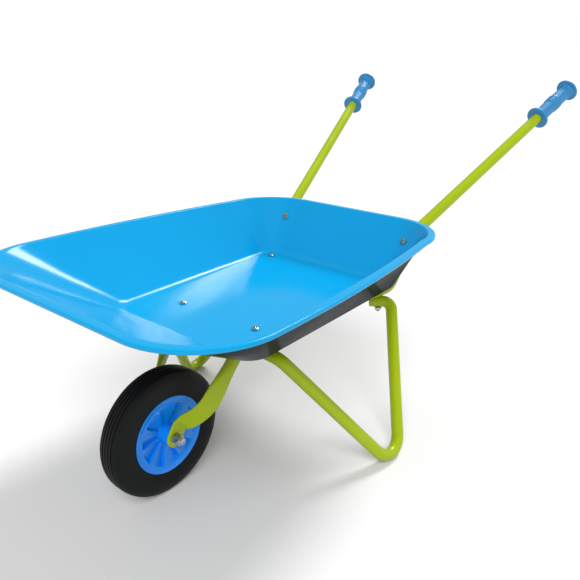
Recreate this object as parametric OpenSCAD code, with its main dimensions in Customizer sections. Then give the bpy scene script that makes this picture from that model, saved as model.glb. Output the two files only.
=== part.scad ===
// Child's steel wheelbarrow. Millimetres, +X forward to the wheel, +Y to the user's left, +Z up.
// All places are worked out from the wheel's axle, and then moved so that the origin is on the
// ground, under the middle of the whole barrow.

/* [Wheel] */
// Radius of the tyre
tyre_r = 80; // [76:1:84]
// Half the width of the tyre
tyre_half_w = 16.5; // [15:0.5:18]
// Radius of the plastic wheel's face, where the tyre's bead stops
face_r = 49; // [46:1:52]
// Radius of the barrel that the tyre sits on
barrel_r = 42; // [40:1:44]
// Number of fan blades on each face of the wheel
blade_count = 10; // [8:1:12]
// Radius of the steel sleeve that the wheel turns on
sleeve_r = 6; // [5.5:0.5:7]

/* [Tray] */
// Height of the tray's floor above the ground
floor_z = 195; // [190:1:200]
// Thickness of the sheet steel
sheet = 1.2; // [1:0.1:1.6]
// Depth from the rim to the floor at the middle of the tray
tray_depth = 84; // [78:1:90]
// How much higher the rim is at the front than at the back
rim_rise = 8; // [0:1:12]
// Front edge of the opening, ahead of the axle
rim_front_x = 111; // [100:1:120]
// Back edge of the opening, behind the axle
rim_back_x = -386.5; // [-392:0.5:-380]
// Half width of the opening at its front corners
rim_front_w = 196; // [186:1:206]
// Half width of the opening at its back corners
rim_back_w = 166; // [158:1:174]
// Width of the flange around the rim
flange_w = 9.5; // [7:0.5:12]
// Depth of the turned-down lip at the flange's edge
lip_h = 4; // [3:0.5:5]
// Radius of the fold between the floor and the walls
fold_r = 14; // [10:1:20]

/* [Tubes] */
// Diameter of the steel tube of the frame and the legs
tube_d = 16; // [14:1:18]
// Wall thickness of the tube
tube_wall = 1.2; // [1:0.1:1.5]
// Thickness of a tube's end where it is pressed flat
flat_t = 3; // [2.6:0.2:3.6]
// Half width of the foot stance, at the middle of the tubes
foot_y = 189; // [180:1:198]
// Bend radius at a foot
foot_bend_r = 28; // [24:1:32]

/* [Grips] */
// Radius of a grip's body
grip_r = 11; // [10.5:0.5:12]
// Radius of a grip's two flanges
grip_flange_r = 17.5; // [16:0.5:19]
// Length of a grip
grip_l = 92; // [86:1:98]
// Number of flutes around each half of a grip
flute_count = 8; // [6:1:10]

/* [Fasteners] */
// Diameter of the bolts through the tray
bolt_d = 5; // [5:1:6]
// Diameter of the axle bolt
axle_d = 8; // [8:1:9]

/* [Hidden] */
$fn = 64;
eps = 0.01;
through = 1;

// Colours
sky_blue = "deepskyblue";
lime = "yellowgreen";
steel = "silver";
wheel_blue = "dodgerblue";

// Vectors
function unit(v) = v / norm(v);
function mirror_y(v, side) = [v[0], side * v[1], v[2]];
function along(a, b, t) = a + (b - a) * t;

// Tray outline: level 0 is the floor and level 1 is the rim. The walls' angles from the floor
// come from how far each wall leans out over the tray's depth.
floor_front_x = -34;
floor_back_x = -338.5;
floor_w = 120;
floor_corner_r = 26;
rim_front_corner_r = 84;
rim_back_corner_r = 80;
rim_bulge = 7;
front_angle = atan(tray_depth / (rim_front_x - floor_front_x));
back_angle = atan(tray_depth / (floor_back_x - rim_back_x));
side_angle = atan(tray_depth / ((rim_front_w + rim_back_w) / 2 - floor_w));
// How far out a wall is at height h above the floor, from the sharp corner of wall and floor
function fold_h(a) = fold_r * (1 - cos(a));
function lean(h, a) = h > fold_h(a)
    ? h / tan(a)
    : fold_r * sin(acos(1 - h / fold_r)) - fold_r * tan(a / 2);
// Corner of an outline as points on a quarter circle
corner_steps = 8;
function quarter(centre, r, from) =
    [for (i = [0:corner_steps]) centre + r * [cos(from + i * 90 / corner_steps),
        sin(from + i * 90 / corner_steps)]];
// One long side, bowed outwards between its corners
side_steps = 6;
function side_bow(a, b, bow) = [for (i = [1:side_steps - 1])
    let (u = i / side_steps) along(a, b, u) + [0, sign(a[1]) * bow * 4 * u * (1 - u)]];
// Closed outline: front edge at xf, back edge at xb, half widths wf and wb
function outline(xf, xb, wf, wb, rf, rb, bow) = concat(
    quarter([xf - rf, wf - rf], rf, 0),
    side_bow([xf - rf, wf], [xb + rb, wb], bow),
    quarter([xb + rb, wb - rb], rb, 90),
    quarter([xb + rb, rb - wb], rb, 180),
    side_bow([xb + rb, -wb], [xf - rf, -wf], bow),
    quarter([xf - rf, rf - wf], rf, 270));
// Outline of the inside of the tray at height h above the floor, grown outwards by g
function tray_outline(h, g) = let (t = h / tray_depth) outline(
    floor_front_x + lean(h, front_angle) + g,
    floor_back_x - lean(h, back_angle) - g,
    floor_w + lean(h, side_angle) + t * (rim_front_w - rim_back_w) / 2 + g,
    floor_w + lean(h, side_angle) - t * (rim_front_w - rim_back_w) / 2 + g,
    floor_corner_r + t * (rim_front_corner_r - floor_corner_r) + g,
    floor_corner_r + t * (rim_back_corner_r - floor_corner_r) + g,
    rim_bulge * t);
tray_levels = [0, 0.5, 1.7, 3.8, 7.1, tray_depth / 2];
rim_z = floor_z + tray_depth;
rim_mid_x = (rim_front_x + rim_back_x) / 2;
rim_tilt = atan(rim_rise / (rim_front_x - rim_back_x));
// Point of the left back corner at height h, phi degrees round from the back wall
function back_corner(h, phi) = let (
    t = h / tray_depth,
    r = floor_corner_r + t * (rim_back_corner_r - floor_corner_r))
    [floor_back_x - lean(h, back_angle) + r * (1 - cos(phi)),
        floor_w + lean(h, side_angle) - t * (rim_front_w - rim_back_w) / 2 - r * (1 - sin(phi)),
        floor_z + h];
// The upper half of the wall runs straight from half height to the tilted rim
function upper_wall(phi, u) = let (rim = back_corner(tray_depth, phi))
    along(back_corner(tray_depth / 2, phi), rim + [0, 0, (rim[0] - rim_mid_x) * tan(rim_tilt)], u);
sheet_out = sheet / 2;

// Frame tube: places of its corners on the left side
tube_r = tube_d / 2;
bore_r = tube_r - tube_wall;
run_z = floor_z - sheet - tube_r;
wall_bolt_phi = 19;
wall_bolt_u = 0.3;
wall_bolt_in = upper_wall(wall_bolt_phi, wall_bolt_u);
wall_up = unit(upper_wall(wall_bolt_phi, 1) - wall_bolt_in);
wall_out = unit(cross([sin(wall_bolt_phi), cos(wall_bolt_phi), 0], wall_up)) * -1;
// The tube rises behind the wall, a little steeper than it, and leans outwards
riser_angle = 61;
riser_lean = 7.5;
riser = [-cos(riser_angle), 0, sin(riser_angle)];
wall_gap = 0.3;
wall_bolt_tube = wall_bolt_in + wall_out * (sheet + wall_gap + tube_r);
run_back = wall_bolt_tube - riser * (wall_bolt_tube[2] - run_z) / riser[2] - [0, riser_lean, 0];
riser_over = 12;
handle_low = wall_bolt_tube + riser * riser_over + [0, 0.7, 0];
grip_start = [-653, 176.4, 398];
handle_dir = unit(grip_start - handle_low);
tube_end_gap = 8;
tube_end = grip_start + handle_dir * (grip_l - tube_end_gap);
run_front = [-84, 60, run_z];
fork_low = [-30, 46, tyre_r + 29];
handle_bend_r = 30;
riser_bend_r = 20;
fork_bend_r = 24;
frame_path = [tube_end, handle_low, run_back, run_front, fork_low];
frame_bends = [0, handle_bend_r, riser_bend_r, fork_bend_r, 0];
// Sides of a bent tube, and steps around each of its bends
tube_sides = 24;
bend_steps = 7;
// Flattened fork end: a tab beside the wheel that holds the axle bolt
tab_in_y = 22.5;
tab_mid_y = tab_in_y + flat_t / 2;
tab_w = 24;
tab_reach = 15;
tab_tilt = 58;
tab_back = [-cos(tab_tilt), 0, sin(tab_tilt)];
tab_root = [0, tab_mid_y, tyre_r] + tab_back * tab_reach;

// Holes for the tray bolts along the frame tube's floor run, and their clearance
bolt_hole_r = bolt_d / 2 + 0.25;
hole_reach = 4;
function run_point(x) = along(run_front, run_back, (x - run_front[0]) / (run_back[0] - run_front[0]));
front_bolt = run_point(-101);
back_bolt = run_point(-320);

// Legs: V-shaped tubes whose ends turn in under the frame tubes
leg_z = run_z - tube_d;
leg_front_top = [-98, 103, leg_z];
leg_back_top = [-330, 115, leg_z];
leg_front_bend_r = 17;
leg_back_bend_r = 13;
end_over = 13;
function leg_end(top, bolt) = let (b = [bolt[0], bolt[1], leg_z]) b + unit(b - top) * end_over;
foot_x = -225;
// The foot's corner is dropped until the lowest point of the bent tube is on the ground
function foot_low(c) = let (
    u = unit(leg_front_top - c),
    v = unit(leg_back_top - c),
    half = acos(u * v) / 2,
    n = unit(cross(u, v)),
    hub = c + unit(u + v) * foot_bend_r / sin(half))
    hub[2] - foot_bend_r * sqrt(1 - n[2] * n[2]) - tube_r;
function foot_side(c) = let (
    u = unit(leg_front_top - c),
    v = unit(leg_back_top - c),
    half = acos(u * v) / 2,
    hub = c + unit(u + v) * foot_bend_r / sin(half))
    hub[1] - unit(u + v)[1] * foot_bend_r;
function drop_foot(c, steps) = steps == 0
    ? c
    : drop_foot(c - [0, foot_side(c) - foot_y, foot_low(c)], steps - 1);
foot_corner = drop_foot([foot_x, foot_y, -tube_d], 12);
leg_path = [leg_end(leg_front_top, front_bolt), leg_front_top, foot_corner, leg_back_top,
    leg_end(leg_back_top, back_bolt)];
leg_bends = [0, leg_front_bend_r, foot_bend_r, leg_back_bend_r, 0];

// Grip
grip_flange_t = 4;
grip_cap_t = 7;
rib_count = 5;
rib_pitch = 3;
rib_r = 1.1;
flute_r = 1.8;
flute_deep = 0.9;
flute_clear = 5;

// Wheel
bead_y = 11;
face_y = 16;
boss_r = 12;
boss_y = tab_in_y - 0.3;
running_gap = 0.1;
sleeve_bore_r = axle_d / 2 + 0.1;
web_t = 2.5;
blade_out_r = 40;
blade_t = 2.2;
blade_tilt = 7;
blade_rise = 6;
blade_low = 8;
groove_count = 5;
groove_w = 1.6;
groove_pitch = 4.2;
bulge_r = 66;
groove_deep = 1.8;
tread_half_w = 12;

// Hexagon nuts, washers and bolt heads
bolt_head_r = 5;
bolt_head_h = 3.2;
nut_r = 4.6;
nut_h = 4;
washer_r = 5.5;
washer_t = 1;
axle_nut_r = 6.9;
axle_nut_h = 6.5;
axle_head_h = 5.3;
axle_washer_r = 7.5;
axle_washer_t = 1.6;
thread_end = 2;
axle_thread_end = 5;
floor_stack = sheet + 2 * tube_d + washer_t + nut_h + thread_end;
wall_stack = sheet + wall_gap + tube_d + washer_t + nut_h + thread_end;

// Whole size along X, from the grip's end cap to the front of the rim
grip_end = grip_start + handle_dir * grip_l;
back_end = grip_end[0] - grip_flange_r * sqrt(1 - handle_dir[0] * handle_dir[0]);
front_end = rim_front_x + flange_w;
to_origin = [-(front_end + back_end) / 2, 0, 0];

// A frame whose Z axis points along dir
module point_along(at, dir) {
    translate(at)
        rotate([0, acos(unit(dir)[2]), atan2(dir[1], dir[0])])
            children();
}

// Length from a corner to where its bend starts
function trim(p, r, i) = i == 0 || i == len(p) - 1
    ? 0
    : r[i] * tan(acos(unit(p[i] - p[i - 1]) * unit(p[i + 1] - p[i])) / 2);

// Rotates v about the unit axis n
function turned(v, n, a) = v * cos(a) + cross(n, v) * sin(a) + n * (n * v) * (1 - cos(a));

// Rings of a bent tube from stretch i on: centre and two radial unit vectors. The radial vectors
// turn with each bend, so the tube doesn't twist.
function rings(path, bends, i, side) = let (
    u = unit(path[i + 1] - path[i]),
    last = i == len(path) - 2,
    end = path[i + 1] - u * trim(path, bends, i + 1),
    v = last ? u : unit(path[i + 2] - path[i + 1]),
    n = last ? side : unit(cross(u, v)),
    turn = acos(min(1, u * v)),
    hub = end + cross(n, u) * bends[i + 1])
    concat(
        i == 0 ? [[path[0], side, cross(u, side)]] : [],
        [[end, side, cross(u, side)]],
        last ? [] : [for (k = [1:bend_steps]) let (a = turn * k / bend_steps)
            [hub + turned(end - hub, n, a), turned(side, n, a), turned(cross(u, side), n, a)]],
        last ? [] : rings(path, bends, i + 1, turned(side, n, turn)));

// A round steel tube that follows a path of straight stretches and circular bends
module bent_tube(path, bends) {
    all = rings(path, bends, 0, unit(cross(path[1] - path[0], [0, 0, 1])));
    count = len(all);
    points = [for (r = [tube_r, bore_r], f = all, j = [0:tube_sides - 1])
        let (a = j * 360 / tube_sides) f[0] + r * (f[1] * cos(a) + f[2] * sin(a))];
    wall = count * tube_sides;
    last = wall - tube_sides;
    skin = [for (k = [0:count - 2], j = [0:tube_sides - 1])
        let (m = (j + 1) % tube_sides, here = k * tube_sides, next = here + tube_sides)
        [here + j, here + m, next + m, next + j]];
    polyhedron(points, concat(
        [for (f = skin) [f[3], f[2], f[1], f[0]]],
        [for (f = skin) f + [wall, wall, wall, wall]],
        [for (j = [0:tube_sides - 1]) let (m = (j + 1) % tube_sides) [j, m, wall + m, wall + j]],
        [for (j = [0:tube_sides - 1]) let (m = (j + 1) % tube_sides)
            [last + m, last + j, last + wall + j, last + wall + m]]));
}

// Solid block of the tray's shape, from its floor up to the rim's plane
module tray_block(g, drop, rise) {
    hull() {
        for (h = tray_levels)
            translate([0, 0, floor_z + h - drop])
                linear_extrude(eps) polygon(tray_outline(h, g));
        rim_plane(-drop + rise) linear_extrude(eps) polygon(tray_outline(tray_depth, g));
    }
}

// The rim's plane, a little higher at the front
module rim_plane(up) {
    translate([rim_mid_x, 0, rim_z + up])
        rotate([0, -rim_tilt, 0])
            translate([-rim_mid_x, 0, 0])
                children();
}

module rim_ring(outer, inner, h) {
    linear_extrude(h)
        difference() {
            polygon(tray_outline(tray_depth, outer));
            polygon(tray_outline(tray_depth, inner));
        }
}

module tray() {
    color(sky_blue)
        difference() {
            union() {
                tray_block(sheet_out, sheet, 0);
                rim_plane(-sheet) rim_ring(flange_w, -1, sheet);
                rim_plane(-sheet - lip_h) rim_ring(flange_w, flange_w - sheet, lip_h + eps);
            }
            tray_block(0, 0, 0.5);
            for (side = [-1, 1]) {
                for (b = [front_bolt, back_bolt])
                    translate(mirror_y([b[0], b[1], floor_z - sheet - through], side))
                        cylinder(h = sheet + 2 * through, r = bolt_hole_r);
                point_along(mirror_y(wall_bolt_in - wall_out * hole_reach, side), mirror_y(wall_out, side))
                    cylinder(h = 2 * hole_reach, r = bolt_hole_r);
            }
        }
}

// Fork end pressed flat: from the round tube to the tab beside the wheel. The blend between them
// stands a little proud of the tube and ends a little inside the tab.
module fork_end() {
    fork_dir = unit(fork_low - run_front);
    proud = 0.15;
    hull() {
        point_along(fork_low - fork_dir * 3, fork_dir) cylinder(h = 1, r = tube_r + proud, $fn = 32);
        translate(tab_root)
            rotate([0, tab_tilt - 180, 0])
                cube([2, flat_t - proud, tab_w - proud], center = true);
    }
    translate([0, tab_in_y, tyre_r])
        difference() {
            union() {
                rotate([0, tab_tilt - 180, 0])
                    translate([0, 0, -tab_w / 2])
                        cube([tab_reach + 2, flat_t, tab_w]);
                rotate([-90, 0, 0]) cylinder(h = flat_t, r = tab_w / 2);
            }
            translate([0, -through, 0])
                rotate([-90, 0, 0])
                    cylinder(h = flat_t + 2 * through, r = axle_d / 2 + 0.2);
        }
}

module frame_tube() {
    color(lime) {
        difference() {
            bent_tube(frame_path, frame_bends);
            for (b = [front_bolt, back_bolt])
                translate([b[0], b[1], run_z - tube_d]) cylinder(h = 2 * tube_d, r = bolt_hole_r);
            point_along(wall_bolt_tube - wall_out * tube_d, wall_out)
                cylinder(h = 2 * tube_d, r = bolt_hole_r);
        }
        fork_end();
    }
}

module leg() {
    color(lime)
        difference() {
            bent_tube(leg_path, leg_bends);
            for (b = [front_bolt, back_bolt])
                translate([b[0], b[1], leg_z - tube_d]) cylinder(h = 2 * tube_d, r = bolt_hole_r);
        }
}

// Everything that exists once on each side is drawn for the left and mirrored for the right
module on_side(side) {
    if (side > 0) children();
    else mirror([0, 1, 0]) children();
}

// Grip pushed over the tube's end: two flanges, ribs at the middle and flutes in each half
module grip() {
    half_l = (grip_l - grip_cap_t - grip_flange_t) / 2;
    rib_zone = rib_count * rib_pitch;
    flute_l = half_l - rib_zone / 2 - 2 * flute_clear;
    color(wheel_blue)
        point_along(grip_start, handle_dir)
            difference() {
                union() {
                    cylinder(h = grip_l - eps, r = grip_r);
                    cylinder(h = grip_flange_t, r = grip_flange_r);
                    translate([0, 0, grip_l - grip_cap_t]) cylinder(h = grip_cap_t, r = grip_flange_r);
                    for (i = [0:rib_count - 1])
                        translate([0, 0, grip_flange_t + half_l + (i - (rib_count - 1) / 2) * rib_pitch])
                            rotate_extrude() translate([grip_r - 0.3, 0]) circle(r = rib_r);
                }
                translate([0, 0, -through])
                    cylinder(h = grip_l - tube_end_gap + through, r = tube_r);
                for (i = [0:flute_count - 1], low = [0, 1])
                    rotate([0, 0, i * 360 / flute_count])
                        translate([grip_r + flute_r - flute_deep, 0,
                            grip_flange_t + flute_clear + low * (half_l + rib_zone / 2)])
                            cylinder(h = flute_l, r = flute_r);
            }
}

// Tyre: solid rubber on the barrel, with grooves around the tread
module tyre() {
    shoulder = tyre_half_w - tread_half_w;
    color("dimgray")
        translate([0, 0, tyre_r])
            rotate([-90, 0, 0])
                rotate_extrude($fn = 96) difference() {
                    polygon([[barrel_r, -bead_y], [face_r, -bead_y], [face_r, -face_y],
                        [bulge_r, -tyre_half_w], [tyre_r - 2 * shoulder, -tyre_half_w],
                        [tyre_r - shoulder, -tread_half_w - shoulder / 2],
                        [tyre_r, -tread_half_w + 2], [tyre_r, tread_half_w - 2],
                        [tyre_r - shoulder, tread_half_w + shoulder / 2],
                        [tyre_r - 2 * shoulder, tyre_half_w], [bulge_r, tyre_half_w],
                        [face_r, face_y], [face_r, bead_y], [barrel_r, bead_y]]);
                    for (i = [0:groove_count - 1])
                        translate([tyre_r, (i - (groove_count - 1) / 2) * groove_pitch])
                            square([2 * groove_deep, groove_w], center = true);
                }
}

// Half of the plastic wheel: hub, dished web with fan blades, and the bead flange
module wheel_half() {
    pitch = 360 / blade_count;
    blade_half_w = tan(pitch / 2) * (blade_out_r - 7);
    color(wheel_blue)
        translate([0, 0, tyre_r])
            rotate([-90, 0, 0])
                difference() {
                    union() {
                        rotate_extrude($fn = 96)
                            polygon([[0, 0], [boss_r, 0], [boss_r, 5], [barrel_r - 3, 9],
                                [barrel_r - 3, 0], [barrel_r, 0], [barrel_r, bead_y], [face_r, bead_y],
                                [face_r, face_y - 0.5], [face_r - 1, face_y],
                                [blade_out_r, face_y - 2], [boss_r, 5 + 2 * web_t],
                                [boss_r, boss_y], [0, boss_y]]);
                        for (i = [0:blade_count - 1])
                            rotate([0, 0, i * pitch])
                                translate([0, 0, blade_low])
                                    rotate([blade_tilt, -blade_rise, 0])
                                        linear_extrude(blade_t)
                                            polygon([[boss_r - 2, -2], [blade_out_r - 1, -blade_half_w],
                                                [blade_out_r - 1, blade_half_w], [boss_r - 2, 2]]);
                    }
                    translate([0, 0, -through])
                        cylinder(h = boss_y + 2 * through, r = sleeve_r + running_gap);
                }
}

module axle_sleeve() {
    color(steel)
        translate([0, -tab_in_y, tyre_r])
            rotate([-90, 0, 0])
                difference() {
                    cylinder(h = 2 * tab_in_y, r = sleeve_r);
                    translate([0, 0, -through])
                        cylinder(h = 2 * tab_in_y + 2 * through, r = sleeve_bore_r);
                }
}

stack_y = tab_in_y + flat_t;

module axle_bolt() {
    color(steel)
        translate([0, -stack_y - axle_washer_t, tyre_r])
            rotate([-90, 0, 0]) {
                translate([0, 0, -axle_head_h]) cylinder(h = axle_head_h, r = axle_nut_r, $fn = 6);
                cylinder(h = 2 * (stack_y + axle_washer_t) + axle_nut_h + axle_thread_end, r = axle_d / 2);
            }
}

module axle_nut() {
    color(steel)
        translate([0, stack_y + axle_washer_t, tyre_r])
            rotate([-90, 0, 0])
                difference() {
                    cylinder(h = axle_nut_h, r = axle_nut_r, $fn = 6);
                    translate([0, 0, -through]) cylinder(h = axle_nut_h + 2 * through, r = axle_d / 2);
                }
}

module washer(r, bore, t) {
    difference() {
        cylinder(h = t, r = r);
        translate([0, 0, -through]) cylinder(h = t + 2 * through, r = bore);
    }
}

module axle_washers() {
    color(steel)
        for (y = [-stack_y - axle_washer_t, stack_y])
            translate([0, y, tyre_r])
                rotate([-90, 0, 0]) washer(axle_washer_r, axle_d / 2 + 0.3, axle_washer_t);
}

// A tray bolt, head up at z = 0 and shank down
module tray_bolt(l) {
    cylinder(h = bolt_head_h, r1 = bolt_head_r, r2 = bolt_head_r - 1.2);
    translate([0, 0, -l]) cylinder(h = l + eps, r = bolt_d / 2);
}

module tray_nut(depth) {
    translate([0, 0, -depth - nut_h])
        difference() {
            cylinder(h = nut_h, r = nut_r, $fn = 6);
            translate([0, 0, -through]) cylinder(h = nut_h + 2 * through, r = bolt_d / 2);
        }
}

module tray_washer(depth) {
    translate([0, 0, -depth - washer_t]) washer(washer_r, bolt_hole_r, washer_t);
}

// The four places on the floor and the two places on the back wall, each with the head at z = 0
module at_floor_bolts() {
    for (side = [-1, 1], b = [front_bolt, back_bolt])
        translate(mirror_y([b[0], b[1], floor_z], side)) children();
}

module at_wall_bolts() {
    for (side = [-1, 1])
        point_along(mirror_y(wall_bolt_in, side), -mirror_y(wall_out, side)) children();
}

module floor_bolts() {
    color(steel) at_floor_bolts() tray_bolt(floor_stack);
}

module floor_washers() {
    color(steel) at_floor_bolts() tray_washer(sheet + 2 * tube_d);
}

module floor_nuts() {
    color(steel) at_floor_bolts() tray_nut(sheet + 2 * tube_d + washer_t);
}

module wall_bolts() {
    color(steel) at_wall_bolts() tray_bolt(wall_stack);
}

module wall_washers() {
    color(steel) at_wall_bolts() tray_washer(sheet + wall_gap + tube_d);
}

module wall_nuts() {
    color(steel) at_wall_bolts() tray_nut(sheet + wall_gap + tube_d + washer_t);
}

translate(to_origin) {
    tray();
    on_side(1) frame_tube();  // frame_tube_left
    on_side(-1) frame_tube();  // frame_tube_right
    on_side(1) leg();  // leg_left
    on_side(-1) leg();  // leg_right
    on_side(1) grip();  // grip_left
    on_side(-1) grip();  // grip_right
    tyre();
    on_side(1) wheel_half();  // wheel_half_left
    on_side(-1) wheel_half();  // wheel_half_right
    axle_sleeve();
    axle_bolt();
    axle_nut();
    axle_washers();
    floor_bolts();
    floor_washers();
    floor_nuts();
    wall_bolts();
    wall_washers();
    wall_nuts();
}
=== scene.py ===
"""Looks of the child's wheelbarrow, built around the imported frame.

Lengths are in millimetres, measured from the ground under the wheel's axle, as the CAD source
measures them. row_point() turns them into metres in the shared frame.
"""
import math

import bmesh
import bpy
from mathutils import Matrix, Vector


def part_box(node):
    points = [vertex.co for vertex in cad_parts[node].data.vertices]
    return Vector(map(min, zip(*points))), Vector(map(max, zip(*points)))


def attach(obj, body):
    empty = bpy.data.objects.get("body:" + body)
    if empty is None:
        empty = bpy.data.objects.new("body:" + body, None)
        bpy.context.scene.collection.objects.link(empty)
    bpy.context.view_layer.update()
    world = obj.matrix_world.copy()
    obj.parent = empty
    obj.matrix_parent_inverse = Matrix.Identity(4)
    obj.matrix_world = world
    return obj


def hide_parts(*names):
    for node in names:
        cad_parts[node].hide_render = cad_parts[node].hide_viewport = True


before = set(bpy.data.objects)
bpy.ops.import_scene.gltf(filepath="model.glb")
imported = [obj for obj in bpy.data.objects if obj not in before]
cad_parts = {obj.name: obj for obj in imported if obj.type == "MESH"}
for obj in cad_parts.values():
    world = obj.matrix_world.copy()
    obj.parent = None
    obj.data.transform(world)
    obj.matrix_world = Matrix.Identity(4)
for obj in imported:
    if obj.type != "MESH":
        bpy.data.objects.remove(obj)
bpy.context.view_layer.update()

MM = 0.001
tyre_low, tyre_high = (Vector(corner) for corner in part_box("tyre"))
AXLE_X = (tyre_low.x + tyre_high.x) / 2

# Wheel
TYRE_R = 80.0
FACE_R = 49.0
BARREL_R = 42.0
BEAD_Y = 11.0
FACE_Y = 16.0
BLADE_COUNT = 10
BOSS_R = 12.0
BLADE_END_R = 40.0
SLEEVE_R = 6.0
RUNNING_GAP = 0.1
TREAD_HALF_W = 12.4
GROOVES = 5
GROOVE_PITCH = 4.6
GROOVE_HALF_W = 0.75
GROOVE_DEEP = 1.7

# Tray
FLOOR_Z = 195.0
SHEET = 1.2
DEPTH = 84.0
RIM_RISE = 8.0
RIM_FRONT_X = 111.0
RIM_BACK_X = -386.5
RIM_FRONT_W = 196.0
RIM_BACK_W = 166.0
RIM_FRONT_CORNER_R = 84.0
RIM_BACK_CORNER_R = 80.0
RIM_BULGE = 7.0
FLANGE_W = 9.5
LIP_H = 4.0
FOLD_R = 14.0
FLOOR_FRONT_X = -34.0
FLOOR_BACK_X = -338.5
FLOOR_W = 120.0
FLOOR_CORNER_R = 26.0

# Tubes
TUBE_R = 8.0
BORE_R = 6.8
FLAT_HALF_T = 1.5
FOOT_X = -225.0
FOOT_Y = 189.0
FOOT_BEND_R = 28.0
TUBE_SIDES = 48

# Grips
GRIP_START = Vector((-653.0, 176.4, 398.0))
GRIP_L = 92.0
GRIP_R = 11.0
GRIP_FLANGE_R = 17.5
FLUTES = 8
RINGS = 5
RING_PITCH = 3.0

# Fasteners
BOLT_R = 2.5
HEAD_R = 5.0
HEAD_H = 3.2
AXLE_R = 4.0

PI = math.pi


def row_point(p):
    """A place in millimetres from under the axle, in metres in the shared frame."""
    return (AXLE_X + p[0] * MM, p[1] * MM, p[2] * MM)


def smooth_step(low, high, x):
    t = min(1.0, max(0.0, (x - low) / (high - low)))
    return t * t * (3 - 2 * t)


# Meshes

def grid(rows, wrap_rows=False, caps=True):
    """Faces between rows of points. Each row is a closed loop. caps close the first and last row."""
    n, m = len(rows[0]), len(rows)
    points = [p for row in rows for p in row]
    faces = []
    for k in range(m if wrap_rows else m - 1):
        for j in range(n):
            a, b = (k + 1) % m, (j + 1) % n
            faces.append((k * n + j, k * n + b, a * n + b, a * n + j))
    if caps and not wrap_rows:
        faces.append(tuple(range(n - 1, -1, -1)))
        faces.append(tuple((m - 1) * n + j for j in range(n)))
    return points, faces


def mirrored(part):
    points, faces = part
    return [Vector((p[0], -p[1], p[2])) for p in points], [face[::-1] for face in faces]


def joined(parts):
    points, faces = [], []
    for part_points, part_faces in parts:
        faces += [tuple(i + len(points) for i in face) for face in part_faces]
        points += part_points
    return points, faces


def add_piece(name, part, materials, node, body, sharp=32, paint_by=None):
    """One piece that stands for a CAD node and rides on its body."""
    points, faces = part
    mesh = bpy.data.meshes.new(name)
    mesh.from_pydata([row_point(p) for p in points], [], faces)
    shape = bmesh.new()
    shape.from_mesh(mesh)
    bmesh.ops.recalc_face_normals(shape, faces=shape.faces)
    shape.to_mesh(mesh)
    shape.free()
    for material in materials:
        mesh.materials.append(material)
    for face in mesh.polygons:
        face.use_smooth = True
        if paint_by:
            face.material_index = paint_by(face)
    mesh.set_sharp_from_angle(angle=math.radians(sharp))
    piece = bpy.data.objects.new(name, mesh)
    bpy.context.scene.collection.objects.link(piece)
    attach(piece, body)
    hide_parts(node)
    return piece


def placed(rows, at, direction):
    """Rows drawn about the Z axis, moved so that Z points along direction from at."""
    turn = Vector((0, 0, 1)).rotation_difference(direction).to_matrix()
    return [[at + turn @ Vector(p) for p in row] for row in rows]


def circle(r, z, sides):
    return [(r * math.cos(2 * PI * j / sides), r * math.sin(2 * PI * j / sides), z)
            for j in range(sides)]


# Materials

def add_node(tree, kind, **values):
    node = tree.nodes.new(kind)
    for key, value in values.items():
        node.inputs[key].default_value = value
    return node


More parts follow.
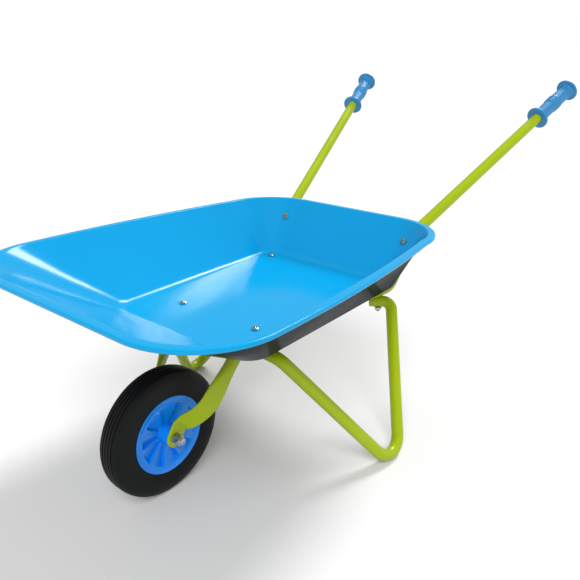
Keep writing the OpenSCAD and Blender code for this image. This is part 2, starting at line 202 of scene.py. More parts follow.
def surface(name, dark, light, rough, patch, grain, grain_height, metal=0.0, gloss_level=0.5,
            wear=None):
    """A painted, moulded or plated surface: colour in soft patches, uneven gloss, fine relief and,
    where wear is given, edges that are rubbed towards that colour."""
    material = bpy.data.materials.new(name)
    material.use_nodes = True
    tree = material.node_tree
    shader = tree.nodes["Principled BSDF"]
    shader.inputs["Metallic"].default_value = metal
    shader.inputs["Specular IOR Level"].default_value = gloss_level
    coords = tree.nodes.new("ShaderNodeTexCoord")

    patches = add_node(tree, "ShaderNodeTexNoise", Scale=patch, Detail=5.0)
    blend = tree.nodes.new("ShaderNodeMix")
    blend.data_type = "RGBA"
    blend.inputs["A"].default_value = (*dark, 1)
    blend.inputs["B"].default_value = (*light, 1)
    tree.links.new(coords.outputs["Object"], patches.inputs["Vector"])
    tree.links.new(patches.outputs["Fac"], blend.inputs["Factor"])
    colour = blend.outputs["Result"]

    if wear:
        geometry = tree.nodes.new("ShaderNodeNewGeometry")
        edges = add_node(tree, "ShaderNodeMapRange")
        edges.inputs["From Min"].default_value = 0.53
        edges.inputs["From Max"].default_value = 0.66
        scuffs = add_node(tree, "ShaderNodeTexNoise", Scale=grain * 0.4, Detail=6.0)
        amount = tree.nodes.new("ShaderNodeMath")
        amount.operation = "MULTIPLY"
        rubbed = tree.nodes.new("ShaderNodeMix")
        rubbed.data_type = "RGBA"
        rubbed.inputs["B"].default_value = (*wear, 1)
        tree.links.new(coords.outputs["Object"], scuffs.inputs["Vector"])
        tree.links.new(geometry.outputs["Pointiness"], edges.inputs["Value"])
        tree.links.new(edges.outputs["Result"], amount.inputs[0])
        tree.links.new(scuffs.outputs["Fac"], amount.inputs[1])
        tree.links.new(amount.outputs["Value"], rubbed.inputs["Factor"])
        tree.links.new(colour, rubbed.inputs["A"])
        colour = rubbed.outputs["Result"]
    tree.links.new(colour, shader.inputs["Base Color"])

    smears = add_node(tree, "ShaderNodeTexNoise", Scale=patch * 2, Detail=2.0)
    gloss = add_node(tree, "ShaderNodeMapRange")
    gloss.inputs["From Min"].default_value = 0.3
    gloss.inputs["From Max"].default_value = 0.7
    gloss.inputs["To Min"].default_value = rough[0]
    gloss.inputs["To Max"].default_value = rough[1]
    tree.links.new(coords.outputs["Object"], smears.inputs["Vector"])
    tree.links.new(smears.outputs["Fac"], gloss.inputs["Value"])
    tree.links.new(gloss.outputs["Result"], shader.inputs["Roughness"])

    relief = add_node(tree, "ShaderNodeTexNoise", Scale=grain, Detail=3.0)
    bump = add_node(tree, "ShaderNodeBump", Distance=grain_height)
    tree.links.new(coords.outputs["Object"], relief.inputs["Vector"])
    tree.links.new(relief.outputs["Fac"], bump.inputs["Height"])
    tree.links.new(bump.outputs["Normal"], shader.inputs["Normal"])
    return material


blue_enamel = surface("blue_enamel", (0.001, 0.27, 0.54), (0.003, 0.31, 0.61), (0.14, 0.18),
                      patch=4, grain=300, grain_height=0.0000015, gloss_level=0.18,
                      wear=(0.03, 0.42, 0.74))
# Dark grey for the tray's outside and the underside of its rim: painted shade, standing in for the blue
# enamel in the shadow under the tray
painted_shade_underside = surface("painted_shade_underside", (0.011, 0.016, 0.020), (0.017, 0.023, 0.028), (0.16, 0.24),
                      patch=7, grain=300, grain_height=0.000003, gloss_level=0.002,
                      wear=(0.09, 0.10, 0.11))
lime_paint = surface("lime_paint", (0.27, 0.36, 0.002), (0.32, 0.42, 0.003), (0.16, 0.24),
                     patch=9, grain=520, grain_height=0.000004, gloss_level=0.3,
                     wear=(0.48, 0.56, 0.03))
grip_plastic = surface("grip_plastic", (0.020, 0.17, 0.38), (0.028, 0.22, 0.46), (0.30, 0.42),
                       patch=14, grain=1500, grain_height=0.000012, wear=(0.05, 0.36, 0.68))
wheel_plastic = surface("wheel_plastic", (0.002, 0.18, 0.72), (0.004, 0.24, 0.84), (0.14, 0.22),
                        patch=16, grain=900, grain_height=0.000008, wear=(0.03, 0.26, 0.80))
tyre_rubber = surface("tyre_rubber", (0.0045, 0.005, 0.0055), (0.008, 0.0085, 0.009), (0.42, 0.56),
                      patch=22, grain=2400, grain_height=0.00003, gloss_level=0.14,
                      wear=(0.020, 0.020, 0.021))
zinc_plate = surface("zinc_plate", (0.34, 0.345, 0.35), (0.56, 0.56, 0.55), (0.16, 0.34),
                     patch=180, grain=2600, grain_height=0.000008, metal=1.0,
                     wear=(0.74, 0.74, 0.73))


# Tray

FRONT_ANGLE = math.atan2(DEPTH, RIM_FRONT_X - FLOOR_FRONT_X)
BACK_ANGLE = math.atan2(DEPTH, FLOOR_BACK_X - RIM_BACK_X)
SIDE_ANGLE = math.atan2(DEPTH, (RIM_FRONT_W + RIM_BACK_W) / 2 - FLOOR_W)
RIM_MID_X = (RIM_FRONT_X + RIM_BACK_X) / 2
RIM_SLOPE = RIM_RISE / (RIM_FRONT_X - RIM_BACK_X)


def lean(h, angle):
    """How far out a wall is at height h, from the sharp corner of wall and floor."""
    if h > FOLD_R * (1 - math.cos(angle)):
        return h / math.tan(angle)
    return FOLD_R * math.sin(math.acos(1 - h / FOLD_R)) - FOLD_R * math.tan(angle / 2)


def quarter(x, y, r, quadrant, steps=18):
    angles = [(quadrant + i / steps) * PI / 2 for i in range(steps + 1)]
    return [(x + r * math.cos(a), y + r * math.sin(a)) for a in angles]


def edge(a, b, bow, steps):
    """Points strictly between a and b, bowed sideways."""
    inner = []
    for i in range(1, steps):
        u = i / steps
        swell = math.copysign(bow * 4 * u * (1 - u), a[1]) if bow else 0
        inner.append((a[0] + (b[0] - a[0]) * u, a[1] + (b[1] - a[1]) * u + swell))
    return inner


def tray_outline(h, grow):
    t = h / DEPTH
    taper = t * (RIM_FRONT_W - RIM_BACK_W) / 2
    front = FLOOR_FRONT_X + lean(h, FRONT_ANGLE) + grow
    back = FLOOR_BACK_X - lean(h, BACK_ANGLE) - grow
    front_w = FLOOR_W + lean(h, SIDE_ANGLE) + taper + grow
    back_w = FLOOR_W + lean(h, SIDE_ANGLE) - taper + grow
    front_r = FLOOR_CORNER_R + t * (RIM_FRONT_CORNER_R - FLOOR_CORNER_R) + grow
    back_r = FLOOR_CORNER_R + t * (RIM_BACK_CORNER_R - FLOOR_CORNER_R) + grow
    corners = [quarter(front - front_r, front_w - front_r, front_r, 0),
               quarter(back + back_r, back_w - back_r, back_r, 1),
               quarter(back + back_r, back_r - back_w, back_r, 2),
               quarter(front - front_r, front_r - front_w, front_r, 3)]
    loop = []
    for i, corner in enumerate(corners):
        long_side = i % 2 == 0
        next_start = corners[(i + 1) % 4][0]
        loop += corner + edge(corner[-1], next_start, RIM_BULGE * t if long_side else 0, 16)
    return loop


def tray_row(h, grow, drop, shrink=1.0):
    """One loop of the tray. The rim rises to the front, and the walls' upper half takes up the rise."""
    tilt = max(0.0, 2 * h / DEPTH - 1) * RIM_SLOPE
    middle = (FLOOR_FRONT_X + FLOOR_BACK_X) / 2
    return [Vector((middle + (x - middle) * shrink, y * shrink,
                    FLOOR_Z + h - drop + tilt * (rim_x - RIM_MID_X)))
            for (x, y), (rim_x, _) in zip(tray_outline(h, grow), tray_outline(DEPTH, grow))]


def build_tray():
    fold = [7.1 * (i / 12) ** 2 for i in range(13)]
    wall = [10, 16, 24, 33, DEPTH / 2, 52, 62, 72]
    shrinks = [0.08, 0.3, 0.55, 0.8, 0.94]
    rows = [tray_row(0, 0, 0, s) for s in shrinks]
    rows += [tray_row(h, 0, 0) for h in fold + wall]
    # The wall turns out into the flange, which falls a little to its rolled edge
    turn = 5.0
    rows += [tray_row(DEPTH - turn * (1 - math.sin(a)), 0, 0) for a in (0, 0.35, 0.7, 1.05)]
    rows += [tray_row(DEPTH, g, d) for g, d in ((0.4, 0.12), (1.6, 0.05), (3.2, 0.1), (5.2, 0.3))]
    roll = 2.2
    for i in range(8):
        a = i * PI / 14
        rows.append(tray_row(DEPTH, FLANGE_W - roll * (1 - math.sin(a)), 0.5 + roll * (1 - math.cos(a))))
    lip = SHEET + LIP_H
    rows += [tray_row(DEPTH, FLANGE_W, lip - 0.5), tray_row(DEPTH, FLANGE_W - 0.3, lip - 0.1),
             tray_row(DEPTH, FLANGE_W - 0.8, lip)]
    blue_rows = len(rows)
    rows += [tray_row(DEPTH, FLANGE_W - SHEET, lip - 0.4), tray_row(DEPTH, FLANGE_W - SHEET, 3.2),
             tray_row(DEPTH, FLANGE_W - 2.4, 1.9), tray_row(DEPTH, 4.6, 1.5), tray_row(DEPTH, 2.2, SHEET)]
    rows += [tray_row(h, SHEET / 2, SHEET) for h in (83, 80) + tuple(reversed(fold + wall))]
    rows += [tray_row(0, SHEET / 2, SHEET, s) for s in reversed(shrinks)]
    loop = len(rows[0])

    # The inside and the top of the rim are blue enamel; from the rim's underside on, the outside of the tray
    # takes the dark grey painted shade
    def paint(face):
        if face.index >= (len(rows) - 1) * loop:
            return face.index - (len(rows) - 1) * loop
        return 0 if face.index < (blue_rows - 1) * loop else 1

    add_piece("tray_shell", grid(rows), [blue_enamel, painted_shade_underside], "tray", "barrow",
              sharp=50, paint_by=paint)


build_tray()


# Tubes

def stations(path, bends, gaps):
    """Places and directions along a path with rounded corners, gaps apart on each stretch."""
    found = []
    here = path[0]
    for i in range(1, len(path)):
        ahead = (path[i] - path[i - 1]).normalized()
        last = i == len(path) - 1
        after = ahead if last else (path[i + 1] - path[i]).normalized()
        turn = ahead.angle(after)
        trim = 0 if last else bends[i] * math.tan(turn / 2)
        end = path[i] - ahead * trim
        count = max(1, math.ceil((end - here).length / gaps[i - 1]))
        found += [(here.lerp(end, k / count), ahead) for k in range(count)]
        if last:
            found.append((end, ahead))
            break
        axis = ahead.cross(after).normalized()
        hub = end + axis.cross(ahead) * bends[i]
        steps = max(3, math.ceil(turn / math.radians(4)))
        for k in range(steps):
            rotation = Matrix.Rotation(turn * k / steps, 3, axis)
            found.append((hub + rotation @ (end - hub), rotation @ ahead))
        here = path[i] + after * trim
    return found


def pressed_section(half_t, width_share=1.0):
    """Section of a tube pressed to a thickness: its skin keeps its length, so it grows wider."""
    flat = PI * (TUBE_R - half_t) / 2
    section = []
    for j in range(TUBE_SIDES):
        a = 2 * PI * (j + 0.5) / TUBE_SIDES
        x = math.copysign(flat, math.cos(a)) + half_t * math.cos(a)
        section.append((x * width_share, half_t * math.sin(a)))
    return section


def swept(path, bends, gaps, wide, section, twist=None):
    rows = []
    travelled = 0
    previous = path[0]
    for place, ahead in stations(path, bends, gaps):
        travelled += (place - previous).length
        previous = place
        wide = (wide - ahead * wide.dot(ahead)).normalized()
        across = wide
        if twist:
            across = Matrix.Rotation(twist(travelled), 3, ahead) @ wide
        thin = ahead.cross(across)
        rows.append([place + across * a + thin * b for a, b in section(travelled)])
    return rows


def centre_of(row):
    return sum(row, Vector()) / len(row)


def open_end(row, inward):
    """Rows of a cut tube end: from inside the bore, over the cut, to the outside."""
    centre = centre_of(row)
    cuts = [(BORE_R, 16.0), (BORE_R, 0.2), (BORE_R + 0.3, 0.0), (TUBE_R - 0.3, 0.0), (TUBE_R, 0.3)]
    return [[centre + (p - centre) * (r / TUBE_R) + inward * depth for p in row] for r, depth in cuts]


RUN_Z = FLOOR_Z - SHEET - TUBE_R
WALL_BOLT_PHI = math.radians(19)
WALL_BOLT_SHARE = 0.3
WALL_GAP = 0.3


def back_corner(h):
    """The inside of the left back corner at height h, round from the back wall as far as the bolt."""
    t = h / DEPTH
    r = FLOOR_CORNER_R + t * (RIM_BACK_CORNER_R - FLOOR_CORNER_R)
    x = FLOOR_BACK_X - lean(h, BACK_ANGLE) + r * (1 - math.cos(WALL_BOLT_PHI))
    wall_y = FLOOR_W + lean(h, SIDE_ANGLE) - t * (RIM_FRONT_W - RIM_BACK_W) / 2
    y = wall_y - r * (1 - math.sin(WALL_BOLT_PHI))
    return Vector((x, y, FLOOR_Z + h))


half_way, at_rim = back_corner(DEPTH / 2), back_corner(DEPTH)
at_rim.z += (at_rim.x - RIM_MID_X) * RIM_SLOPE
WALL_BOLT = half_way.lerp(at_rim, WALL_BOLT_SHARE)
WALL_UP = (at_rim - half_way).normalized()
WALL_OUT = -Vector((math.sin(WALL_BOLT_PHI), math.cos(WALL_BOLT_PHI), 0)).cross(WALL_UP).normalized()
RISER_ANGLE = math.radians(61)
RISER_LEAN = 7.5
RISER_OVER = 12
RISER_TURN_OUT = 0.7
RISER = Vector((-math.cos(RISER_ANGLE), 0, math.sin(RISER_ANGLE)))
WALL_TUBE = WALL_BOLT + WALL_OUT * (SHEET + WALL_GAP + TUBE_R)
RUN_BACK = WALL_TUBE - RISER * ((WALL_TUBE.z - RUN_Z) / RISER.z) - Vector((0, RISER_LEAN, 0))
HANDLE_LOW = WALL_TUBE + RISER * RISER_OVER + Vector((0, RISER_TURN_OUT, 0))
HANDLE_DIR = (GRIP_START - HANDLE_LOW).normalized()
TUBE_END_GAP = 8
TUBE_END = GRIP_START + HANDLE_DIR * (GRIP_L - TUBE_END_GAP)
RUN_FRONT = Vector((-84, 60, RUN_Z))
FORK_LOW = Vector((-30, 46, TYRE_R + 29))
TAB_IN_Y = 22.5
TAB_MID = Vector((0, TAB_IN_Y + FLAT_HALF_T, TYRE_R))
TAB_TILT = math.radians(58)
TAB_BACK = Vector((-math.cos(TAB_TILT), 0, math.sin(TAB_TILT)))
TAB_HALF_W = 11.9
TAB_REACH = 15
TAB_ROOT = TAB_MID + TAB_BACK * TAB_REACH
TAB_FOLD_R = 5
STRAP_BEND_R = 60
FORK_BEND_R = 24
RISER_BEND_R = 20
HANDLE_BEND_R = 30
LEG_FRONT_BEND_R = 17
LEG_BACK_BEND_R = 13
LEG_END_OVER = 13


def run_point(x):
    return RUN_FRONT.lerp(RUN_BACK, (x - RUN_FRONT.x) / (RUN_BACK.x - RUN_FRONT.x))


FLOOR_BOLTS = [run_point(-101), run_point(-320)]


def frame_section(travelled):
    """The tube's section: round tab end, flat strap, then the blend into the round tube."""
    flat_until = 78.0
    round_from = 124.0
    half_t = FLAT_HALF_T + (TUBE_R - FLAT_HALF_T) * smooth_step(flat_until, round_from, travelled)
    inset = max(0.0, TAB_HALF_W - travelled) / TAB_HALF_W
    return pressed_section(half_t, max(0.1, math.sqrt(1 - inset * inset)))


def strap_twist(travelled):
    """Behind the tab's fold the strap turns its flat side upwards."""
    return math.radians(-28) * smooth_step(25, 38, travelled)


def build_frame_tube():
    path = [TAB_MID - TAB_BACK * TAB_HALF_W, TAB_ROOT, FORK_LOW, RUN_FRONT, RUN_BACK, HANDLE_LOW, TUBE_END]
    bends = [0, TAB_FOLD_R, STRAP_BEND_R, FORK_BEND_R, RISER_BEND_R, HANDLE_BEND_R, 0]
    gaps = [0.6, 1.5, 2.5, 12, 12, 12]
    across = Vector((math.sin(TAB_TILT), 0, math.cos(TAB_TILT)))
    return grid(swept(path, bends, gaps, across, frame_section, strap_twist))


def leg_end(top, bolt):
    under = Vector((bolt.x, bolt.y, top.z))
    return under + (under - top).normalized() * LEG_END_OVER


def build_leg():
    leg_z = RUN_Z - 2 * TUBE_R
    front_top, back_top = Vector((-98, 103, leg_z)), Vector((-330, 115, leg_z))
    corner = Vector((FOOT_X, FOOT_Y, -2 * TUBE_R))
    # The corner is moved until the bent tube stands on the ground with the right stance
    for _ in range(12):
        to_front, to_back = (front_top - corner).normalized(), (back_top - corner).normalized()
        half = to_front.angle(to_back) / 2
        middle = (to_front + to_back).normalized()
        hub = corner + middle * (FOOT_BEND_R / math.sin(half))
        normal = to_front.cross(to_back).normalized()
        low = hub.z - FOOT_BEND_R * math.sqrt(1 - normal.z ** 2) - TUBE_R
        side = (hub - middle * FOOT_BEND_R).y
        corner -= Vector((0, side - FOOT_Y, low))
    path = [leg_end(front_top, FLOOR_BOLTS[0]), front_top, corner, back_top,
            leg_end(back_top, FLOOR_BOLTS[1])]
    bends = [0, LEG_FRONT_BEND_R, FOOT_BEND_R, LEG_BACK_BEND_R, 0]
    rows = swept(path, bends, [6, 10, 10, 6], Vector((0, 0, 1)), lambda travelled: pressed_section(TUBE_R))
    inward = (rows[1][0] - rows[0][0]).normalized()
    outward = (rows[-2][0] - rows[-1][0]).normalized()
    return grid(open_end(rows[0], inward) + rows[1:-1] + open_end(rows[-1], outward)[::-1])


def add_pair(name, part, materials, body, sharp=32):
    add_piece(name + "_left_skin", part, materials, name + "_left", body, sharp)
    add_piece(name + "_right_skin", mirrored(part), materials, name + "_right", body, sharp)


add_pair("frame_tube", build_frame_tube(), [lime_paint], "barrow", sharp=40)
add_pair("leg", build_leg(), [lime_paint], "barrow")


# Grips

GRIP_FLANGE_T = 4
GRIP_CAP_T = 7
GRIP_HALF = (GRIP_L - GRIP_FLANGE_T - GRIP_CAP_T) / 2
GRIP_MIDDLE = GRIP_FLANGE_T + GRIP_HALF


def rounded_disc(low, high, r, round_r, inner_r):
    """Profile of a disc with rounded edges, from inner_r out, across and back in to inner_r."""
    steps = [i * PI / 10 for i in range(6)]
    lower = [(low + round_r * (1 - math.sin(a)), r - round_r * (1 - math.cos(a))) for a in reversed(steps)]
    upper = [(high - round_r * (1 - math.sin(a)), r - round_r * (1 - math.cos(a))) for a in steps]
    return [(low, inner_r)] + lower + upper + [(high, inner_r)]


def grip_skin(s, angle, r):
    """Takes the flutes out of the body, in a half on each side of the rings."""
    reach = GRIP_HALF / 2 - 8
    from_middle = GRIP_HALF / 2 + 2.2
    depth = 0
    for centre in (GRIP_MIDDLE - from_middle, GRIP_MIDDLE + from_middle):
        beyond = max(0.0, abs(s - centre) - reach)
        nearest = round(angle * FLUTES / (2 * PI)) * 2 * PI / FLUTES
        depth = max(depth, 1 - smooth_step(1.2, 2.6, math.hypot(beyond, (angle - nearest) * r)))
    return r - depth


def build_grip():
    bore_r = TUBE_R + 0.05
    profile = [(10, bore_r)] + rounded_disc(0, GRIP_FLANGE_T, GRIP_FLANGE_R, 1.4, bore_r)[:-1]
    profile.append((GRIP_FLANGE_T, GRIP_R + 1.6))
    s = 4.4
    while s < GRIP_L - 7.4:
        off = (s - GRIP_MIDDLE) / GRIP_HALF
        r = GRIP_R - 0.45 * off * off
        r += 1.2 * (1 - smooth_step(4.0, 6.5, s)) + 1.2 * smooth_step(GRIP_L - 10, GRIP_L - 7.2, s)
        for i in range(RINGS):
            apart = abs(s - GRIP_MIDDLE - (i - (RINGS - 1) / 2) * RING_PITCH) / 1.25
            r += math.sqrt(max(0.0, 1 - apart * apart))
        profile.append((s, r))
        s += 0.5
    profile += rounded_disc(GRIP_L - GRIP_CAP_T, GRIP_L - 3.4, GRIP_FLANGE_R, 1.3, GRIP_R + 1.6)[:-1]
    profile += rounded_disc(GRIP_L - 3.4, GRIP_L, GRIP_FLANGE_R - 2.6, 1.6, 0.4)[1:]
    sides = 120
    rows = []
    for s, r in profile:
        body = 5.5 < s < GRIP_L - 8 and r < GRIP_R + 2
        ring = []
        for j in range(sides):
            angle = 2 * PI * j / sides
            skin_r = grip_skin(s, angle, r) if body else r
            ring.append((skin_r * math.cos(angle), skin_r * math.sin(angle), s))
        rows.append(ring)
    return grid(placed(rows, GRIP_START, HANDLE_DIR))


add_pair("grip", build_grip(), [grip_plastic], "barrow", sharp=45)


# Wheel

def about_axle(r, y, angle):
    return Vector((r * math.cos(angle), y, TYRE_R + r * math.sin(angle)))


def turned(profile, steps):
    """A closed profile of (radius, y) turned about the axle."""
    return grid([[about_axle(r, y, 2 * PI * k / steps) for r, y in profile] for k in range(steps)],
                wrap_rows=True)


def build_tyre():
    side = [(BARREL_R, 0), (BARREL_R, BEAD_Y), (FACE_R, BEAD_Y), (FACE_R, 14.4), (FACE_R + 0.5, 15.2),
            (FACE_R + 1.6, 15.5), (FACE_R + 2.4, 15.2), (FACE_R + 3.4, 15.4), (57, 16.2), (61, 16.5),
            (66, 16.4), (70, 15.9), (73, 15.0), (75.4, 13.9), (76.8, 13.1)]
    crown = []
    half_steps = 62
    for i in range(half_steps + 1):
        y = TREAD_HALF_W * (1 - i / half_steps)
        r = TYRE_R - 2.2 * (y / TREAD_HALF_W) ** 4
        for g in range(GROOVES):
            apart = abs(y - (g - (GROOVES - 1) / 2) * GROOVE_PITCH)
            r -= GROOVE_DEEP * (1 - smooth_step(GROOVE_HALF_W - 0.25, GROOVE_HALF_W + 0.2, apart))
        crown.append((r, y))
    half = side + crown
    return turned(half + [(r, -y) for r, y in reversed(half[1:-1])], 180)


def face_depth(r, share):
    """The wheel's face at radius r: a dish, in whose middle each fan blade rises across its sector."""
    dish = 8.4 + 6.2 * smooth_step(BOSS_R - 4, BLADE_END_R + 3, r)
    spread = (r - BOSS_R) / (BLADE_END_R - BOSS_R)
    if spread <= 0 or spread >= 1:
        return dish
    ends = smooth_step(0, 0.06, spread) * (1 - smooth_step(0.95, 1.0, spread))
    return dish + ends * (1.8 + 4.6 * spread) * (share - 0.80)


def build_wheel_half():
    boss_y = TAB_IN_Y - 0.3
    # How far the plastic stays off the rubber
    clear = 0.02
    blade_start_r = BOSS_R + 0.6
    steps = 30
    radii = [blade_start_r + (BLADE_END_R - blade_start_r) * i / steps for i in range(steps + 1)]
    # Each sector starts at the last blade's high edge, drops, and climbs along its own blade
    low_share, high_share = 0.012, 0.985
    shares = [0.0, low_share, 0.12, 0.25, 0.4, 0.55, 0.7, 0.85, high_share]
    rows = []
    for k in range(BLADE_COUNT):
        for share in shares:
            angle = 2 * PI * (k + share) / BLADE_COUNT
            slope = (share - low_share) / (high_share - low_share) if share else 1.0
            bore = SLEEVE_R + RUNNING_GAP
            profile = [(bore, 0), (bore, boss_y - 0.4), (bore + 0.4, boss_y), (BOSS_R - 1.4, boss_y),
                       (BOSS_R - 0.9, boss_y - 0.3), (BOSS_R - 0.6, boss_y - 1), (BOSS_R, 11.0),
                       (BOSS_R + 0.2, 9.8)]
            profile += [(r, face_depth(r, slope)) for r in radii]
            profile += [(41.5, 14.3), (43, 14.5), (45, 14.9), (46.6, 15.5), (47.6, FACE_Y - 0.1),
                        (48.2, FACE_Y), (48.7, FACE_Y - 0.2), (FACE_R - clear, FACE_Y - 0.9),
                        (FACE_R - clear, BEAD_Y + clear), (BARREL_R - clear, BEAD_Y + clear),
                        (BARREL_R - clear, 0), (BARREL_R - 3, 0), (BARREL_R - 3, 7), (BOSS_R, 5), (BOSS_R, 0)]
            rows.append([about_axle(r, y, angle) for r, y in profile])
    return grid(rows, wrap_rows=True)


add_piece("tyre_rubber", build_tyre(), [tyre_rubber], "tyre", "wheel", sharp=40)
add_pair("wheel_half", build_wheel_half(), [wheel_plastic], "wheel", sharp=30)


# Fasteners

def hexagon_radius(angle, corner_r):
    sector = PI / 3
    off = (angle % sector) - sector / 2
    return corner_r * math.cos(sector / 2) / math.cos(off)


def hex_rows(corner_r, low, high, sides=72):
    """Hexagon prism whose corners are cut back by a cone at both ends."""
    chamfer = corner_r * 0.13
    rows = []
    bevel = chamfer * 0.6
    for z, cone in ((low, corner_r - chamfer), (low + bevel, corner_r),
                    (high - bevel, corner_r), (high, corner_r - chamfer)):
        ring = []
        for j in range(sides):
            angle = 2 * PI * j / sides
            r = min(hexagon_radius(angle, corner_r), cone)
            ring.append((r * math.cos(angle), r * math.sin(angle), z))
        rows.append(ring)
    return rows


def thread_rows(r, low, high, pitch, sides=72):
    """A screwed end: crests and roots, with a cut-back tip at low."""
    rows = [circle(r - 0.22 * r, low, sides)]
    z = low + 0.4
    crest = True
    while z < high:
        rows.append(circle(r if crest else r - 0.55 * pitch, z, sides))
        crest = not crest
        z += pitch / 2
    rows.append(circle(r, high, sides))
    return rows


def nut_rows(corner_r, bore_r, low, high, sides=72):
    shell = hex_rows(corner_r, low, high, sides)
    return shell + [circle(bore_r + 0.5, high, sides), circle(bore_r, high - 0.5, sides),
                    circle(bore_r, low + 0.5, sides), circle(bore_r + 0.5, low, sides)]


def pan_head_rows():
    """A rounded head with a cross recess. Each quarter's columns follow the recess's edges."""
    slot_half_w = 0.62
    slot_reach = 2.5
    slot_deep = 1.5

    def ring(r, z, recessed):
        half = math.asin(min(0.7, slot_half_w / r))
        points = []
        for k in range(4):
            offs = [(-half - 0.012, 0), (-half, 1), (0, 1), (half, 1), (half + 0.012, 0)]
            rest = PI / 2 - 2 * half
            offs += [(half + rest * f, 0) for f in (0.25, 0.5, 0.75)]
            for off, inside in offs:
                a = k * PI / 2 + off
                points.append((r * math.cos(a), r * math.sin(a), z - slot_deep * inside * recessed))
        return points

    def dome(r):
        return HEAD_H * (1 - 0.42 * (r / HEAD_R) ** 2.6)

    outer = [ring(HEAD_R - 0.4, 0, 0), ring(HEAD_R - 0.05, 0.25, 0),
             ring(HEAD_R, 0.8, 0), ring(HEAD_R - 0.1, 1.35, 0)]
    radii = [4.7, 4.2, 3.6, 3.0]
    cut = [ring(r, dome(r), 0) for r in radii + [slot_reach + 0.03]]
    return outer + cut + [ring(r, dome(r), 1) for r in (slot_reach, 1.9, 1.3, 0.95)]


def tray_bolt_rows(length):
    return thread_rows(BOLT_R, -length, -length + 10, 0.8, 32) + [circle(BOLT_R, 0, 32)] + pan_head_rows()


def at_sides(rows_at):
    """The same rows at every place, on the left and mirrored to the right."""
    left = [grid(rows) for rows in rows_at]
    return joined(left + [mirrored(part) for part in left])


NUT_R = 4.6
NUT_H = 4.0
WASHER_T = 1.0
THREAD_END = 2.0
floor_depth = SHEET + 4 * TUBE_R + WASHER_T
wall_depth = SHEET + WALL_GAP + 2 * TUBE_R + WASHER_T
UP = Vector((0, 0, 1))
floor_places = [Vector((p.x, p.y, FLOOR_Z)) for p in FLOOR_BOLTS]

floor_bolt = tray_bolt_rows(floor_depth + NUT_H + THREAD_END)
wall_bolt = tray_bolt_rows(wall_depth + NUT_H + THREAD_END)
add_piece("floor_bolts_cross", at_sides([placed(floor_bolt, p, UP) for p in floor_places]),
          [zinc_plate], "floor_bolts", "barrow")
add_piece("wall_bolts_cross", at_sides([placed(wall_bolt, WALL_BOLT, -WALL_OUT)]),
          [zinc_plate], "wall_bolts", "barrow")


def ring_part(rows):
    return grid(rows, wrap_rows=True)


def nuts_at(places, direction, depth):
    rows = nut_rows(NUT_R, BOLT_R, -depth - NUT_H, -depth)
    left = [ring_part(placed(rows, p, direction)) for p in places]
    return joined(left + [mirrored(part) for part in left])


add_piece("floor_nuts_hex", nuts_at(floor_places, UP, floor_depth), [zinc_plate],
          "floor_nuts", "barrow")
add_piece("wall_nuts_hex", nuts_at([WALL_BOLT], -WALL_OUT, wall_depth), [zinc_plate],
          "wall_nuts", "barrow")

STACK_Y = TAB_IN_Y + 2 * FLAT_HALF_T
AXLE_WASHER_T = 1.6
AXLE_NUT_H = 6.5
AXLE_NUT_R = 6.9
AXLE_THREAD_END = 5.0
AXLE_HEAD_H = 5.3
AXLE_PITCH = 1.25
axle_at = Vector((0, 0, TYRE_R))
TO_RIGHT = Vector((0, -1, 0))
nut_low = STACK_Y + AXLE_WASHER_T
# Drawn with the screwed end first, so its Z axis points to the head, on the right
axle_rows = thread_rows(AXLE_R, -nut_low - AXLE_NUT_H - AXLE_THREAD_END, 0, AXLE_PITCH)
axle_rows += [circle(AXLE_R, nut_low, 72)]
axle_rows += hex_rows(AXLE_NUT_R, nut_low, nut_low + AXLE_HEAD_H)
axle_rows += [circle(2.0, nut_low + AXLE_HEAD_H, 72)]
add_piece("axle_bolt_hex", grid(placed(axle_rows, axle_at, TO_RIGHT)), [zinc_plate],
          "axle_bolt", "barrow")
axle_nut_rows = nut_rows(AXLE_NUT_R, AXLE_R, nut_low, nut_low + AXLE_NUT_H)
add_piece("axle_nut_hex", ring_part(placed(axle_nut_rows, axle_at, -TO_RIGHT)), [zinc_plate],
          "axle_nut", "barrow")

for node in ("axle_sleeve", "axle_washers", "floor_washers", "wall_washers"):
    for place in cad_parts[node].material_slots:
        place.material = zinc_plate


# Studio

def build_floor():
    mesh = bpy.data.meshes.new("studio_floor")
    reach = 40.0
    mesh.from_pydata([(-reach, -reach, 0), (reach, -reach, 0), (reach, reach, 0), (-reach, reach, 0)],
                     [], [(0, 1, 2, 3)])
    pale = surface("pale_floor", (0.68, 0.68, 0.68), (0.70, 0.70, 0.70), (0.6, 0.7),
                   patch=2, grain=90, grain_height=0.00005, gloss_level=0.1)
    mesh.materials.append(pale)
    floor = bpy.data.objects.new("studio_floor", mesh)
    bpy.context.scene.collection.objects.link(floor)


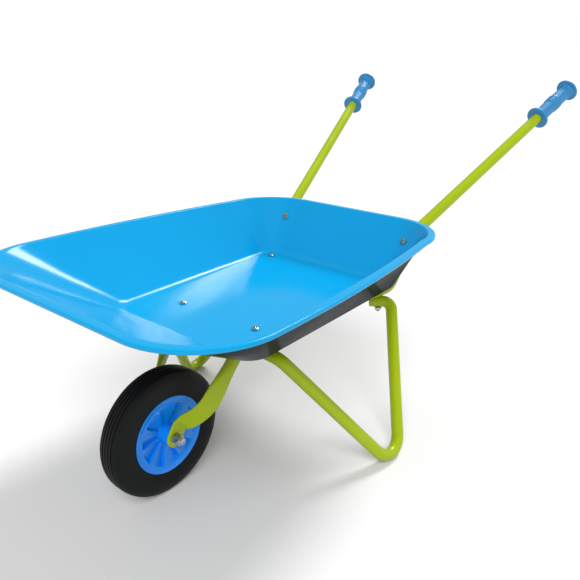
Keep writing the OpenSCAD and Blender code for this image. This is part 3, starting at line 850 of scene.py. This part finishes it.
def soft_sun(name, towards, spread, strength, mirrored_in_gloss=True):
    """A distant softbox. towards points to it, and spread is its apparent width in degrees.
    It can be kept out of mirror-like reflections, so that it only fills."""
    light = bpy.data.lights.new(name, "SUN")
    light.angle = math.radians(spread)
    light.energy = strength
    lamp = bpy.data.objects.new(name, light)
    lamp.visible_glossy = mirrored_in_gloss
    lamp.rotation_euler = Vector(towards).to_track_quat("Z", "Y").to_euler()
    bpy.context.scene.collection.objects.link(lamp)


build_floor()
soft_sun("rear_key", (-0.65, -0.04, 0.75), 18, 2.4)
soft_sun("front_key", (0.60, 0.45, 0.70), 40, 2.5, mirrored_in_gloss=False)

bpy.context.scene.view_settings.view_transform = "Standard"

world = bpy.data.worlds.new("studio")
world.use_nodes = True
ambient = world.node_tree.nodes["Background"]
ambient.inputs["Color"].default_value = (1, 1, 1, 1)
ambient.inputs["Strength"].default_value = 0.5
# The empty studio behind the object shows as white, but lights it only as softly as the ambient
empty = add_node(world.node_tree, "ShaderNodeBackground", Color=(1, 1, 1, 1), Strength=1.0)
rays = world.node_tree.nodes.new("ShaderNodeLightPath")
choice = world.node_tree.nodes.new("ShaderNodeMixShader")
world.node_tree.links.new(rays.outputs["Is Camera Ray"], choice.inputs[0])
world.node_tree.links.new(ambient.outputs[0], choice.inputs[1])
world.node_tree.links.new(empty.outputs[0], choice.inputs[2])
world.node_tree.links.new(choice.outputs[0], world.node_tree.nodes["World Output"].inputs["Surface"])
bpy.context.scene.world = world

# The camera stands ahead of the wheel on the left, a little above the grips
lens = bpy.data.cameras.new("camera")
lens.sensor_width = 36
lens.lens = 38.62
lens.clip_end = 200
camera = bpy.data.objects.new("camera", lens)
camera.location = row_point((392.4, 516.4, 512.4))
yaw, pitch = -2.46, 0.38
looking = Vector((math.cos(yaw) * math.cos(pitch), math.sin(yaw) * math.cos(pitch), -math.sin(pitch)))
camera.rotation_euler = looking.to_track_quat("-Z", "Y").to_euler()
bpy.context.scene.collection.objects.link(camera)
bpy.context.scene.camera = camera
